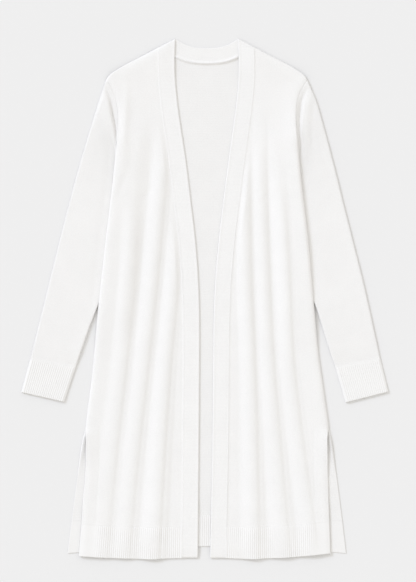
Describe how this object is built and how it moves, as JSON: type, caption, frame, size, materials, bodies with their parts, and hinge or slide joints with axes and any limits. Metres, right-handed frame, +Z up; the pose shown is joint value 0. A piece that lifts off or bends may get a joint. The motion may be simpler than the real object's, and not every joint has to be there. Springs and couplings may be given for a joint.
{
  "type": "duster cardigan",
  "caption": "Open-front longline duster cardigan in fine knit, with a knitted band along the fronts and neck, side slits, ribbed hem and cuffs, laid flat with sleeves down.",
  "frame": {"origin": "centre of the garment's outline, on the surface that it lies on", "axes": "+Y from the hem towards the neck, +X to the viewer's right as seen from above, +Z up from the surface"},
  "size_m": [0.704, 1, 0.0134],
  "materials": {
    "fine_knit": "matte fine plain knit, off-white",
    "band_knit": "matte double knit, off-white",
    "rib_knit": "matte fine rib knit, off-white"
  },
  "bodies": {
    "root": {"back": "fine_knit", "front_left": "fine_knit", "front_right": "fine_knit", "sleeve_left": "fine_knit", "sleeve_right": "fine_knit", "band_neck": "band_knit", "band_left": "band_knit", "band_right": "band_knit", "rib_back": "rib_knit", "rib_front_left": "rib_knit", "rib_front_right": "rib_knit", "cuff_left": "rib_knit", "cuff_right": "rib_knit"}
  },
  "joints": []
}
